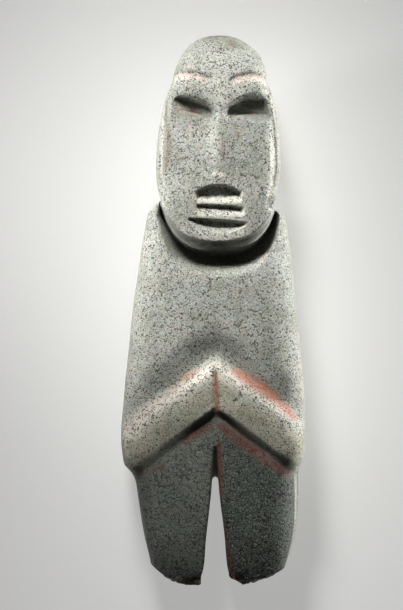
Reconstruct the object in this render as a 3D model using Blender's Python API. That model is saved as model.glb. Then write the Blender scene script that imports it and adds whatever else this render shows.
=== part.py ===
import bpy
import numpy as np

# A small stone figure, carved from one slab and lying on its back.
# The front faces +Z, the head points to +Y, and the origin is on the
# resting plane under the middle of the figure's box.
# Lengths are millimetres of a figure LENGTH long, and MM turns them into metres.

LENGTH = 274.0
MM = 0.001 * LENGTH / 274.0
CROWN = 137.0
CROTCH_FRONT = -67.0
CROTCH_BACK = -84.0
FOOT_ROW = -130.0
FOOT_ROUND = 2.6
REST_SINK = 0.6
GIRTH_SPACING = 0.8
TRIANGLES = 9800

# The egg-shaped outline of the head and jaw, and the wider collar round it.
HEAD = dict(x=2.7, y=71.0, half=31.0, up=66.0, down=36.5, power=2.4)
COLLAR = dict(x=3.0, y=65.0, half=30.0, up=43.0, down=43.0, power=3.0)

# Each list holds (place along the figure, value) pairs.
AXIS = [(137, 2.9), (71, 2.7), (40, 1.4), (-20, 1.2), (-60, 1.1), (-137, 1.2)]
HEAD_PINCH_LEFT = [(137, 0.3), (133, 0.7), (127, 1.3), (119, 2.0), (113.5, 2.8), (108, 2.2),
                   (101, 1.45), (95, 1.2), (89, 0.75), (80, 0.2), (71, -0.15), (62, 0.2), (55, 0.4)]
HEAD_PINCH_RIGHT = [(137, -0.3), (134, -0.2), (131, -0.6), (128.5, -1.4), (124, -0.7),
                    (118, 0.5), (113.5, 1.6), (108, 1.15), (101, 0.8), (95, 0.35), (83, 0.2),
                    (74, -0.1), (69, 0.1), (64, 0.7), (59, 1.0), (54, 0.7)]
BODY_LEFT = [(55, 25.6), (53, 28.2), (50.5, 31.2), (48, 32.6), (45, 33.2), (41, 33.9), (29, 36),
             (5, 39.4), (-19, 42), (-43, 44.5), (-64, 45.9), (-72, 45.3), (-77, 44.3), (-81, 41),
             (-85, 39), (-94, 37.5), (-112, 34.5), (-124, 31.6), (-137, 29.0)]
BODY_RIGHT = [(55, 30.6), (51.5, 30.8), (49.3, 32.8), (47.2, 35.2), (44, 36.2), (29, 38.6),
              (5, 41.3), (-19, 43.6), (-43, 45.6), (-64, 46.0), (-71, 45.7), (-75, 45.1),
              (-78, 43.6), (-82, 42.9), (-94, 42.6), (-103, 42.1), (-112, 40.9),
              (-120, 38.8), (-130, 35.2), (-137, 31.5)]
FRONT = [(137, 27), (133.5, 38.2), (129, 43.6), (122, 48.3), (117, 50.2), (110, 51.8),
         (100, 52.4), (80, 52.8), (58, 52.7), (52, 49.5), (45, 46), (30, 45.6), (15, 46.8),
         (0, 47.6), (-15, 47.8), (-28, 48.4), (-50, 47.6), (-62, 46.2), (-80, 45.0),
         (-100, 43.4), (-120, 41.0), (-131, 38.6), (-137, 36)]
BACK = [(137, 27), (133.5, 16.5), (129, 11.5), (122, 7.6), (110, 4.4), (95, 2.6), (80, 2.4),
        (66, 3.8), (54, 5.6), (42, 3.4), (25, 0.6), (5, -0.5), (-50, -REST_SINK), (-70, -0.2),
        (-90, 1.2), (-110, 4.0), (-125, 7.0), (-137, 11)]
GIRTH = [(137, 27), (100, 27), (60, 26), (40, 24), (-40, 24), (-80, 23), (-110, 22.5),
         (-137, 23.5)]
FRONT_POWER = [(137, 2.6), (125, 3.4), (108, 6.0), (60, 6.0), (45, 4.4), (0, 4.2), (-60, 4.6),
               (-80, 7.5), (-120, 7.0), (-137, 4.5)]
BACK_POWER = [(137, 2.2), (110, 3.0), (60, 3.2), (40, 3.2), (-60, 3.4), (-137, 3.0)]
GAP_HALF = [(-134, 7.3), (-130, 6.4), (-125.5, 5.6), (-115, 4.85), (-105.5, 3.75),
            (-97.5, 2.75), (-85.5, 1.65), (-73.5, 1.05), (-58, 0.7)]
DRAFT_LEFT = [(137, 0.0), (60, 0.0), (40, 0.6), (-60, 0.8), (-80, 1.4), (-110, 1.4),
              (-130, 1.2), (-137, 0.5)]
DRAFT_RIGHT = [(137, 0.0), (60, 0.0), (40, 0.6), (-60, 0.8), (-80, 4.2), (-110, 3.6),
               (-130, 1.2), (-137, 0.5)]
# The foot lines hold (x, lowest point) pairs.
FOOT_LEFT = [(-34, -124.0), (-30.8, -127.5), (-28.5, -130), (-24, -133.2), (-17, -135.6),
             (-9, -137.0), (-4, -137.0), (2, -136.0)]
FOOT_RIGHT = [(4, -133.5), (9.5, -135.2), (12.5, -137.0), (17.5, -136), (24.5, -134.4),
              (35, -130), (40, -126)]


def smooth(low, high, value):
    share = np.clip((value - low) / (high - low), 0, 1)
    return share * share * (3 - 2 * share)


def through(place, pairs):
    # a curve through the pairs that doesn't swing past them
    points = np.array(sorted(pairs), float)
    steps = np.diff(points[:, 0])
    slopes = np.diff(points[:, 1]) / steps
    bend = np.zeros(len(points))
    for k in range(1, len(points) - 1):
        if slopes[k - 1] * slopes[k] > 0:
            first = 2 * steps[k] + steps[k - 1]
            second = steps[k] + 2 * steps[k - 1]
            bend[k] = (first + second) / (first / slopes[k - 1] + second / slopes[k])
    place = np.clip(place, points[0, 0], points[-1, 0])
    k = np.clip(np.searchsorted(points[:, 0], place) - 1, 0, len(steps) - 1)
    t = (place - points[k, 0]) / steps[k]
    rise = (2 * t**3 - 3 * t**2 + 1) * points[k, 1] + (3 * t**2 - 2 * t**3) * points[k + 1, 1]
    return rise + ((t**3 - 2 * t**2 + t) * bend[k] + (t**3 - t**2) * bend[k + 1]) * steps[k]


def halfWidths(y):
    # distance from the axis to the left and right outline
    axis = through(y, AXIS)
    reach = np.abs((y - HEAD["y"]) / np.where(y > HEAD["y"], HEAD["up"], HEAD["down"]))
    egg = HEAD["half"] * np.clip(1 - reach ** HEAD["power"], 0, 1) ** (1 / HEAD["power"])
    headLeft = axis - HEAD["x"] + egg - through(y, HEAD_PINCH_LEFT)
    headRight = HEAD["x"] + egg - through(y, HEAD_PINCH_RIGHT) - axis
    left = np.where(y > 55, headLeft, through(y, BODY_LEFT) + axis)
    right = np.where(y > 54.5, headRight, through(y, BODY_RIGHT) - axis)
    return left, right


def frontHeight(x, y):
    axis = through(y, AXIS)
    left, right = halfWidths(y)
    power = through(y, FRONT_POWER)
    girth = through(y, GIRTH)
    share = np.clip(np.abs(x - axis) / np.maximum(np.where(x < axis, left, right), 1e-6), 0, 1)
    return girth + (through(y, FRONT) - girth) * (1 - share**power) ** (1 / power)


def outsideOf(egg, x, y):
    # how far a point lies outside an egg, along the line from the egg's centre
    across = x - egg["x"]
    along = y - egg["y"]
    reach = np.where(along > 0, egg["up"], egg["down"])
    power = egg["power"]
    ratio = (np.abs(across / egg["half"]) ** power + np.abs(along / reach) ** power) ** (1 / power)
    return np.hypot(across, along) * (1 - 1 / np.maximum(ratio, 1e-6))


def browGroove(x, y):
    side = np.abs(x - 3.5)
    below = 118.2 - 0.030 * (side - 15.7) ** 2 - 0.04 * (x - 3.5) - y
    cut = np.where(below < 0, 1 - smooth(0.0, 2.4, -below), np.clip(1 - below / 3.4, 0, 1))
    return 1.5 * smooth(2.6, 6.5, side) * cut


def insetAt(x, y):
    # distance in from the outline
    axis = through(y, AXIS)
    left, right = halfWidths(y)
    return np.where(x < axis, left, right) - np.abs(x - axis)


def eyeHollow(x, y):
    # a slope falls from the brow, a short rise meets the cheek, and the cheek climbs slowly;
    # all of it fades towards the head's sides
    side = np.abs(x - 4.3)
    left = x < 4.3
    bend = np.where(left, 0.12, 0.03) * np.clip(side - 21, 0, 9) ** 2
    brow = 97.6 + 10.8 * (1 - np.exp(-side / 7.5)) - bend
    fallLeft = through(side, [(0, 1.4), (4, 3.4), (9, 5.6), (15, 6.6), (20, 5.6), (26, 3.4)])
    fallRight = through(side, [(0, 1.6), (5, 4.8), (12, 8.2), (18, 10.2), (22, 10.0), (26, 8.6)])
    deepLeft = through(side, [(0, 0.0), (3, 0.7), (8, 2.7), (14, 3.8), (20, 3.4), (24, 2.2), (28, 0.8)])
    deepRight = through(side, [(0, 0.0), (3, 1.6), (8, 4.2), (15, 5.2), (20, 5.2), (23.5, 4.4),
                               (26.5, 3.0)])
    fall = np.where(left, fallLeft, fallRight)
    below = brow + 0.025 * (x - 4.3) - y
    up = 1 - smooth(0.0, 1.0, (below - fall * 0.95) / np.where(left, 4.0, 3.2))
    run = fall * np.where(left, 0.9, 0.78)
    hollow = np.where(left, deepLeft, deepRight) * smooth(-0.25, 1.0, below / run) * up
    spread = through(y, [(60, 12.0), (85, 9.0), (97, 5.5)])
    cheek = np.where(left, 2.3, 2.6) * smooth(0.0, 1.0, below / fall)
    cheek = cheek * np.clip((y - 62) / 34.0, 0, 1) ** 1.2 * smooth(0.3, 1.0, side / spread)
    inside = smooth(np.where(left, 0.8, 1.6), np.where(left, 8.0, 5.2), insetAt(x, y))
    return (hollow + cheek) * inside


def eyeSlit(x, y):
    side = np.abs(x - 2.5)
    ends = smooth(6.5, 9.5, side) * (1 - smooth(17.5, 20.5, side))
    below = 99.4 - 0.024 * (side - 17.5) ** 2 - 0.03 * (x - 2.5) - y
    cut = np.where(below < 0, 1 - smooth(0.0, 0.45, -below), np.clip(1 - below / 1.7, 0, 1))
    return 1.3 * ends * cut


def nose(x, y):
    wide = through(y, [(64, 5.2), (69, 5.6), (80, 5.2), (98, 3.0), (104, 2.2)])
    high = through(y, [(63.4, 0.0), (66.3, 0.45), (69.0, 1.0), (80, 0.85), (96, 0.35), (103, 0.0)])
    return high * (1 - smooth(0.0, 1.0, np.abs(x - 3.7) / wide))


def mouthOpening(x, y, middle, half, top, floor, lip, depth, wall):
    # top, floor and lip each hold a height, a tilt and a bow
    side = (x - middle) / half
    bow = np.clip(1 - side * side, 0, 1)
    high = top[0] + top[1] * side + top[2] * bow
    fall = np.maximum(high - (floor[0] + floor[1] * side + floor[2] * bow), 0.2)
    end = np.maximum(high - (lip[0] + lip[1] * side + lip[2] * bow), fall + 0.3)
    below = high - y
    climb = 1 - np.clip((below - fall) / (end - fall), 0, 1)
    return depth * smooth(0, wall, below) * climb * (1 - smooth(0.86, 1.04, np.abs(side)))


def mouth(x, y):
    # three openings, one over the other, each with a floor that climbs to the lip below it
    upper = mouthOpening(x, y, 2.7, 11.4, (59.3, 0, 3.5), (58.2, 0, -1.5), (53.4, 0, 0), 4.8, 0.9)
    middle = mouthOpening(x, y, 3.6, 11.9, (52.3, -0.9, 0.3), (50.9, -1.2, 0), (46.9, 0, 0), 2.6, 0.8)
    lower = mouthOpening(x, y, 2.3, 14.6, (45.2, -1, 0), (44.6, -1.2, -3.4), (43.4, -1, -5.2), 3.5, 0.9)
    return np.maximum(np.maximum(upper, middle), lower)


def facePlate(x, y):
    # the flat face stands a little over the sides of the head, with a thin line cut beside it
    inset = insetAt(x, y)
    left = x < through(y, AXIS)
    edge = np.where(left, 4.4, 5.2)
    step = np.where(left, 1.0, 1.5) * (1 - smooth(edge - 1.3, edge, inset))
    line = 1.1 * np.exp(-(((inset - np.where(left, 2.4, 2.8)) / 0.55) ** 2))
    line = line * (1 - smooth(0, 7, y - np.where(left, 94, 104)))
    return (step + line) * smooth(52, 60, y) * (1 - smooth(104, 114, y))


def jaw(x, y, u, v):
    # from the jaw's edge: a crease, a band under the chin, the neck's groove, and a climb to the chest
    pastJaw = outsideOf(HEAD, u, v)
    pastCollar = outsideOf(COLLAR, u, v)
    away = np.clip(pastJaw, 0, None)
    share = away / np.maximum(away - pastCollar, 0.8)
    fade = through(np.abs(u - 2.7), [(0, 10.0), (14, 9.5), (23, 6.0), (30, 2.4)])
    share = np.where(pastCollar > 0, 1 + pastCollar / fade, share)
    here = frontHeight(x, y)
    bulge = np.clip(np.abs(x - 2.7) / 31.5, 0, 0.97)
    face = through(y, [(25, 51.8), (34.5, 52.3), (45, 52.6), (60, 52.7), (70, 52.8)])
    face = face - 26 * (1 - (1 - bulge**6) ** (1 / 6))
    crease = 1.3 * np.exp(-(((pastJaw - 1.0) / 0.55) ** 2)) * (1 - smooth(47, 52, y))
    drop = crease + 3.78 * smooth(0, 0.28, share)
    wall = 1 - smooth(0.26, 0.56, share)
    sunk = here - 9.6 * (1 - smooth(0.40, 1.62, share))
    target = sunk + (face - drop - sunk) * wall
    axis = through(y, AXIS)
    left, right = halfWidths(y)
    out = np.abs(x - axis) / np.where(x < axis, left, right)
    rim = 1 - smooth(0.82, 0.98, out) * smooth(43, 49, y) * smooth(-0.6, 1.2, pastJaw)
    return (target - here) * (1 - smooth(56, 63, y)) * rim


def forearms(x, y):
    # the hollow over the forearms, the wide bevel up to them, and the step down to the thighs
    across = x - 1.5
    side = np.abs(across)
    soft = np.sqrt(side * side + 6.0) - 2.45
    ridge = -27.4 - 0.83 * soft + 0.0008 * soft * (44 - soft) + 0.0022 * soft * soft
    above = y - ridge
    reach = np.hypot(across / 37.0, (y + 37.5) / 27.5)
    arch = 3.5 * smooth(0.0, 1.0, (1.0 - reach) / 0.46) * (1 - 0.72 * smooth(5, 28, side))
    along = 3.3 * (1 - smooth(2.0, 24.0, above)) * (1 - 0.35 * smooth(25, 42, side))
    scoop = smooth(-4.4, 5.2, above) * np.hypot(arch, along)
    below = -49.6 - 0.745 * (np.sqrt(side * side + 1.0) - 1.0) - y
    firm = np.where(across > 0, 1.0, 1 - 0.25 * smooth(14, 34, side))
    wall = np.where(across > 0, 2.0, 2.4 + 5.0 * smooth(3, 22, side))
    roll = np.where(across > 0, 0.6, 0.6 + 0.9 * smooth(4, 20, side)) * smooth(-13.0, 1.0, below)
    climb = smooth(0.22, 1, below / 14.0)
    thigh = 2.6 * climb * (1 - smooth(14, 60, below))
    step = smooth(-0.4, 1.0, below / wall) * (2.9 * firm * (1 - climb) + thigh)
    return scoop + roll * (1 - climb) + step


def handGroove(x, y):
    ends = smooth(-51.5, -49.5, y) * (1 - smooth(-31.6, -29.4, y))
    return 1.5 * ends * np.clip(1 - ((x - 1.5) / 1.95) ** 2, 0, 1)


def relief(x, y):
    # the carving is laid out about its own middle, one part in ninety smaller than it is written
    u = 1.011 * x + 0.063
    v = 1.011 * y - 0.028
    cut = browGroove(u, v) + eyeHollow(u, v) + eyeSlit(u, v) + mouth(u, v) + facePlate(x, y)
    cut = cut + forearms(u, v) + handGroove(u, v)
    return nose(x, y) + jaw(x, y, u, v) - cut


def quarterSection(powers, count):
    # unit quarter turns of a rounded rectangle, with evenly spaced points
    turn = np.linspace(0, np.pi / 2, 2000)
    across = np.zeros((len(powers), count + 1))
    up = np.zeros((len(powers), count + 1))
    for row, power in enumerate(powers):
        x = np.sin(turn) ** (2 / power)
        z = np.clip(np.cos(turn), 0, 1) ** (2 / power)
        length = np.concatenate([[0], np.cumsum(np.hypot(np.diff(x) * 40, np.diff(z) * 24))])
        wanted = np.linspace(0, length[-1], count + 1)
        across[row] = np.interp(wanted, length, x)
        up[row] = np.interp(wanted, length, z)
    return across, up


def rowsBetween(first, last, spacing):
    count = max(2, round(abs(last - first) / spacing))
    return np.linspace(first, last, count + 1)[1:]


def bodyRows():
    dome = CROWN - 12 * (1 - np.cos(np.linspace(0, np.pi / 2, 15)))
    carved = [rowsBetween(125, 96, 0.7), rowsBetween(96, 66, 1.1), rowsBetween(66, 34, 0.6)]
    plain = [rowsBetween(34, -10, 1.5), rowsBetween(-10, CROTCH_FRONT, 0.9)]
    return np.concatenate([dome[1:]] + carved + plain)


def halfRings(side, rows, bodyCount):
    # half rings of one side, each from the front's middle round to the back's middle
    frontCount = round(40 / GIRTH_SPACING)
    backCount = round(32 / GIRTH_SPACING)
    slant = np.interp(rows, [FOOT_ROW, CROTCH_FRONT], [0.0, CROTCH_BACK - CROTCH_FRONT])
    ease = smooth(-12, CROTCH_FRONT, rows) * (CROTCH_BACK - CROTCH_FRONT)
    slant = np.where(rows > CROTCH_FRONT, ease, slant)
    frontX, frontZ = quarterSection(through(rows + slant / 2, FRONT_POWER), frontCount)
    backX, backZ = quarterSection(through(rows + slant / 2, BACK_POWER), backCount)
    across = np.concatenate([frontX, backX[:, ::-1][:, 1:]], axis=1)
    up = np.concatenate([frontZ, -backZ[:, ::-1][:, 1:]], axis=1)
    low = (1 - up) / 2
    y = rows[:, None] + slant[:, None] * low
    legs = np.clip((CROTCH_FRONT - rows) / (CROTCH_FRONT - FOOT_ROW), 0, 1)[:, None]
    width = halfWidths(y)[side > 0]
    outward = 6.0 * legs + (width - 6.0 * legs) * across
    sole = through(through(y, AXIS) + side * outward, FOOT_RIGHT if side > 0 else FOOT_LEFT)
    y = y + legs**1.5 * (sole + FOOT_ROUND - FOOT_ROW + 0.8 * low)
    axis = through(y, AXIS)
    width = halfWidths(y)[side > 0]
    below = np.clip(CROTCH_FRONT - rows, 0, None)[:, None]
    gap = through(y, GAP_HALF) * np.sqrt(np.clip(below / 1.6, 0, 1))
    draft = through(y, DRAFT_RIGHT if side > 0 else DRAFT_LEFT)
    x = axis + side * (gap + (width - gap) * across)
    x = x - side * draft * np.clip(up, 0, 1) ** 1.5 * smooth(0.3, 1.0, across)
    girth = through(y, GIRTH)
    top = girth + (through(y, FRONT) - girth) * up
    bottom = girth + (girth - through(y, BACK)) * up
    z = np.where(up >= 0, top, bottom) + smooth(0.02, 0.34, up) * relief(x, y)
    inner = np.abs(x - axis) - gap
    reach, depth = (2.6, 1.6) if side > 0 else (1.1, 0.8)
    edge = np.clip(1 - inner / reach, 0, 1) ** 2 * depth * smooth(0, 6, below)
    backEdge = np.clip(1 - inner / 1.2, 0, 1) ** 2 * 0.8 * smooth(0, 6, below)
    z = z - smooth(0.02, 0.34, up) * edge + smooth(0.02, 0.3, -up) * backEdge
    return np.stack([x, y, z], axis=-1)


def quads(rings, flip):
    first = rings[:-1]
    second = rings[1:]
    faces = np.stack([first, np.roll(first, -1, 1), np.roll(second, -1, 1), second], -1)
    faces = faces.reshape(-1, 4)
    return faces[:, ::-1] if flip else faces


def soleRings(loop, side):
    # the last ring rolls over a small radius and then closes to the middle of the foot
    line = FOOT_RIGHT if side > 0 else FOOT_LEFT
    middle = loop.mean(0)
    outward = (loop - middle) * np.array([1, 0, 1])
    outward = outward / np.hypot(outward[:, 0], outward[:, 2])[:, None]
    rings = []
    for turn in np.linspace(0, np.pi / 2, 5)[1:]:
        down = np.array([0, -FOOT_ROUND * np.sin(turn), 0])
        rings.append(loop - outward * FOOT_ROUND * (1 - np.cos(turn)) + down)
    edge = rings[-1]
    for share in np.linspace(0, 1, 7)[1:-1]:
        ring = edge + (edge.mean(0) - edge) * share
        level = through(ring[:, 0], line) - 0.7
        ring[:, 1] = ring[:, 1] * (1 - share**0.5) + share**0.5 * level
        rings.append(ring)
    middle = edge.mean(0)
    middle[1] = through(middle[:1], line)[0] - 0.8
    return np.array(rings), middle


def figureMesh():
    body = bodyRows()
    legs = rowsBetween(CROTCH_FRONT, FOOT_ROW, 2.2)
    rows = np.concatenate([body, legs])
    right = halfRings(1, rows, len(body))
    left = halfRings(-1, rows, len(body))
    half = right.shape[1]
    rings = np.concatenate([right, left[:, ::-1][:, 1:-1]], axis=1)[: len(body)]
    around = rings.shape[1]
    points = [np.array([[through(np.array([CROWN]), AXIS)[0], CROWN, 27.0]]), rings.reshape(-1, 3)]
    index = 1 + np.arange(len(body) * around).reshape(len(body), around)
    faces = quads(index, True).tolist()
    faces += np.stack([np.zeros(around, int), index[0], np.roll(index[0], -1)], -1).tolist()
    used = 1 + len(body) * around
    wallCount = 12
    share = (np.arange(1, wallCount + 1) / (wallCount + 1))[:, None]
    # both legs share the line where the gap between them ends
    points.append(rings[-1, half - 1] * (1 - share) + rings[-1, 0] * share)
    saddle = used + np.arange(wallCount)
    used += wallCount
    last = index[-1]
    for side, rows3 in ((1, right), (-1, left)):
        outer = rows3[len(body):]
        wall = outer[:, -1:] * (1 - share[None]) + outer[:, :1] * share[None]
        loops = np.concatenate([outer, wall], axis=1)
        start = last[:half] if side > 0 else np.concatenate([last[:1], last[half - 1:][::-1]])
        caps, middle = soleRings(loops[-1], side)
        loops = np.concatenate([loops, caps])
        count = loops.shape[1]
        points += [loops.reshape(-1, 3), middle[None]]
        own = used + np.arange(len(loops) * count).reshape(len(loops), count)
        used += len(loops) * count
        full = np.concatenate([np.concatenate([start, saddle])[None], own])
        faces += quads(full, side > 0).tolist()
        fan = np.stack([np.full(count, used), np.roll(full[-1], -1), full[-1]], -1)
        faces += (fan if side > 0 else fan[:, ::-1]).tolist()
        used += 1
    return np.concatenate(points) * MM, faces


def stone():
    material = bpy.data.materials.new("greenStone")
    material.use_nodes = True
    shader = material.node_tree.nodes["Principled BSDF"]
    shader.inputs["Base Color"].default_value = (0.33, 0.35, 0.29, 1)
    shader.inputs["Roughness"].default_value = 0.6
    shader.inputs["Metallic"].default_value = 0.0
    material.diffuse_color = (0.33, 0.35, 0.29, 1)
    return material


def restPlane():
    # everything under the resting plane is ground away, which leaves a small flat on the back
    size = 0.5 * LENGTH * MM
    depth = 20 * MM
    corners = [(x, y, z) for z in (-depth, 0) for y in (-size, size) for x in (-size, size)]
    sides = [(0, 2, 3, 1), (4, 5, 7, 6), (0, 1, 5, 4), (2, 6, 7, 3), (0, 4, 6, 2), (1, 3, 7, 5)]
    mesh = bpy.data.meshes.new("restPlane")
    mesh.from_pydata(corners, [], sides)
    cutter = bpy.data.objects.new("restPlane", mesh)
    cutter.hide_render = True
    cutter.display_type = "WIRE"
    bpy.context.scene.collection.objects.link(cutter)
    return cutter


def figurine():
    points, faces = figureMesh()
    mesh = bpy.data.meshes.new("figurine")
    mesh.from_pydata(points.tolist(), [], faces)
    mesh.materials.append(stone())
    mesh.shade_smooth()
    figure = bpy.data.objects.new("figurine", mesh)
    bpy.context.scene.collection.objects.link(figure)
    triangles = sum(len(face) - 2 for face in faces)
    fewer = figure.modifiers.new("fewerFaces", "DECIMATE")
    fewer.ratio = TRIANGLES / triangles
    flat = figure.modifiers.new("restingFlat", "BOOLEAN")
    flat.operation = "DIFFERENCE"
    flat.solver = "EXACT"
    flat.object = restPlane()
    return figure


for thing in list(bpy.data.objects):
    bpy.data.objects.remove(thing)
figurine()
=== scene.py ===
import math
import bpy
import numpy as np
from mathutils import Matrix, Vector


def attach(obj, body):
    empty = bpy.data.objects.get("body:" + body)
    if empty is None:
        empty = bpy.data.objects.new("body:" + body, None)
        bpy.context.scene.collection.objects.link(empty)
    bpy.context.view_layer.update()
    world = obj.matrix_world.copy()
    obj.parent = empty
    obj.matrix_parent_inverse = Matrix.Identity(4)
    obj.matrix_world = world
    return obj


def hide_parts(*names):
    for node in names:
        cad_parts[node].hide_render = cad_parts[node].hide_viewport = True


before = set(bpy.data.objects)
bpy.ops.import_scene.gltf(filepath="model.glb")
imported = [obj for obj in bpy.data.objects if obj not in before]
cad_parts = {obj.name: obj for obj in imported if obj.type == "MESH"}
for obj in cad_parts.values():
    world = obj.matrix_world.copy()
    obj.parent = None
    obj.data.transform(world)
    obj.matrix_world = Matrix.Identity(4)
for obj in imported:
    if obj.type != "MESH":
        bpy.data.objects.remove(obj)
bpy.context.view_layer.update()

mm = 0.001  # lengths below are millimetres of a figure lying on its back, head towards +y

# The figure: one slab of stone. The lists from axis to draftRight hold (y, value) pairs: the middle line,
# what the head's outline lacks of its egg, the body's outline, the heights of front, back and widest line
# (girth), the roundness of the section (powers), half the gap between the legs, and how far the walls lean
# in (draft).
figure = {
    "crown": 137.0,
    "crownHeight": 27.0,
    "neckLeft": 55,
    "neckRight": 54.5,
    "armMiddle": 1.5,
    "crotchFront": -67.0,
    "crotchBack": -84.0,
    "footRow": -130.0,
    "footRound": 2.6,
    "head": dict(x=2.7, y=71.0, half=31.0, up=66.0, down=36.5, power=2.4),
    "collar": dict(x=3.0, y=65.0, half=30.0, up=43.0, down=43.0, power=3.0),
    "axis": [(137, 2.9), (71, 2.7), (40, 1.4), (-20, 1.2), (-60, 1.1), (-137, 1.2)],
    "pinchLeft": [(137, 0.3), (133, 0.7), (127, 1.3), (119, 2.0), (113.5, 2.8), (108, 2.2), (101, 1.45),
                  (95, 1.2), (89, 0.75), (80, 0.2), (71, -0.15), (62, 0.2), (55, 0.4)],
    "pinchRight": [(137, -0.3), (134, -0.2), (131, -0.6), (128.5, -1.4), (124, -0.7), (118, 0.5),
                   (113.5, 1.6), (108, 1.15), (101, 0.8), (95, 0.35), (83, 0.2), (74, -0.1), (69, 0.1),
                   (64, 0.7), (59, 1.0), (54, 0.7)],
    "bodyLeft": [(55, 25.6), (53, 28.2), (50.5, 31.2), (48, 32.6), (45, 33.2), (41, 33.9), (29, 36),
                 (5, 39.4), (-19, 42), (-43, 44.5), (-64, 45.9), (-72, 45.3), (-77, 44.3), (-81, 41),
                 (-85, 39), (-94, 37.5), (-112, 34.5), (-124, 31.6), (-137, 29.0)],
    "bodyRight": [(55, 30.6), (51.5, 30.8), (49.3, 32.8), (47.2, 35.2), (44, 36.2), (29, 38.6), (5, 41.3),
                  (-19, 43.6), (-43, 45.6), (-64, 46.0), (-71, 45.7), (-75, 45.1), (-78, 43.6), (-82, 42.9),
                  (-94, 42.6), (-103, 42.1), (-112, 40.9), (-120, 38.8), (-130, 35.2), (-137, 31.5)],
    "front": [(137, 27), (133.5, 38.2), (129, 43.6), (122, 48.3), (117, 50.2), (110, 51.8), (100, 52.4),
              (80, 52.8), (58, 52.7), (52, 49.5), (45, 46), (30, 45.6), (15, 46.8), (0, 47.6), (-15, 47.8),
              (-28, 48.4), (-50, 47.6), (-62, 46.2), (-80, 45.0), (-100, 43.4), (-120, 41.0),
              (-131, 38.6), (-137, 36)],
    "back": [(137, 27), (133.5, 16.5), (129, 11.5), (122, 7.6), (110, 4.4), (95, 2.6), (80, 2.4), (66, 3.8),
             (54, 5.6), (42, 3.4), (25, 0.6), (5, -0.5), (-50, -0.6), (-70, -0.2), (-90, 1.2), (-110, 4.0),
             (-125, 7.0), (-137, 11)],
    "girth": [(137, 27), (100, 27), (60, 26), (40, 24), (-40, 24), (-80, 23), (-110, 22.5), (-137, 23.5)],
    "frontPower": [(137, 2.6), (125, 3.4), (108, 6.0), (60, 6.0), (45, 4.4), (0, 4.2), (-60, 4.6), (-80, 7.5),
                   (-120, 7.0), (-137, 4.5)],
    "backPower": [(137, 2.2), (110, 3.0), (60, 3.2), (40, 3.2), (-60, 3.4), (-137, 3.0)],
    "gap": [(-134, 7.3), (-130, 6.4), (-125.5, 5.6), (-115, 4.85), (-105.5, 3.75), (-97.5, 2.75),
            (-85.5, 1.65), (-73.5, 1.05), (-58, 0.7)],
    "draftLeft": [(137, 0.0), (60, 0.0), (40, 0.6), (-60, 0.8), (-80, 1.4), (-110, 1.4), (-130, 1.2),
                  (-137, 0.5)],
    "draftRight": [(137, 0.0), (60, 0.0), (40, 0.6), (-60, 0.8), (-80, 4.2), (-110, 3.6), (-130, 1.2),
                   (-137, 0.5)],
    # The broken feet's lines, as (x, y), and the rings that round them off and close them.
    "footLeft": [(-34, -124.0), (-30.8, -127.5), (-28.5, -130), (-24, -133.2), (-17, -135.6), (-9, -137.0),
                 (-4, -137.0), (2, -136.0)],
    "footRight": [(4, -133.5), (9.5, -135.2), (12.5, -137.0), (17.5, -136), (24.5, -134.4), (35, -130),
                  (40, -126)],
    "footRolls": 7,
    "footCaps": 9,
    # The skin's grid: runs of rows as (from, to, spacing), then points over the front, back and inner walls.
    "rowSpacing": [(137, 125, 0.46), (125, 108, 0.62), (108, 96, 0.5), (96, 66, 0.75), (66, 34, 0.52),
                   (34, -10, 0.85), (-10, -67, 0.68)],
    "legSpacing": 1.1,
    "frontCount": 66,
    "backCount": 54,
    "wallCount": 22,
}


# Ease: 0 below low, 1 above high, and a smooth cubic between.
def smooth(low, high, value):
    share = np.clip((value - low) / (high - low), 0, 1)
    return share * share * (3 - 2 * share)


# A cubic through (place, value) pairs whose slope at each pair never lets it swing past them.
def through(place, pairs):
    points = np.array(sorted(pairs), float)
    steps = np.diff(points[:, 0])
    slopes = np.diff(points[:, 1]) / steps
    bend = np.zeros(len(points))
    for k in range(1, len(points) - 1):
        if slopes[k - 1] * slopes[k] > 0:
            first, second = 2 * steps[k] + steps[k - 1], steps[k] + 2 * steps[k - 1]
            bend[k] = (first + second) / (first / slopes[k - 1] + second / slopes[k])
    place = np.clip(place, points[0, 0], points[-1, 0])
    k = np.clip(np.searchsorted(points[:, 0], place) - 1, 0, len(steps) - 1)
    t = (place - points[k, 0]) / steps[k]
    rise = (2 * t**3 - 3 * t**2 + 1) * points[k, 1] + (3 * t**2 - 2 * t**3) * points[k + 1, 1]
    return rise + ((t**3 - 2 * t**2 + t) * bend[k] + (t**3 - t**2) * bend[k + 1]) * steps[k]


# Distance from the axis to the left and right outline: the head's egg less its pinch, then the body's
# lists.
def halfWidths(y):
    head, axis = figure["head"], through(y, figure["axis"])
    reach = np.abs((y - head["y"]) / np.where(y > head["y"], head["up"], head["down"]))
    egg = head["half"] * np.clip(1 - reach ** head["power"], 0, 1) ** (1 / head["power"])
    headLeft = axis - head["x"] + egg - through(y, figure["pinchLeft"])
    headRight = head["x"] + egg - through(y, figure["pinchRight"]) - axis
    left = np.where(y > figure["neckLeft"], headLeft, through(y, figure["bodyLeft"]) + axis)
    right = np.where(y > figure["neckRight"], headRight, through(y, figure["bodyRight"]) - axis)
    return left, right


# Uncarved front: a rounded rectangle's height over the widest line, at (x, y).
def frontHeight(x, y):
    axis, power, girth = (through(y, figure[key]) for key in ("axis", "frontPower", "girth"))
    left, right = halfWidths(y)
    share = np.clip(np.abs(x - axis) / np.maximum(np.where(x < axis, left, right), 1e-6), 0, 1)
    return girth + (through(y, figure["front"]) - girth) * (1 - share**power) ** (1 / power)


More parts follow.
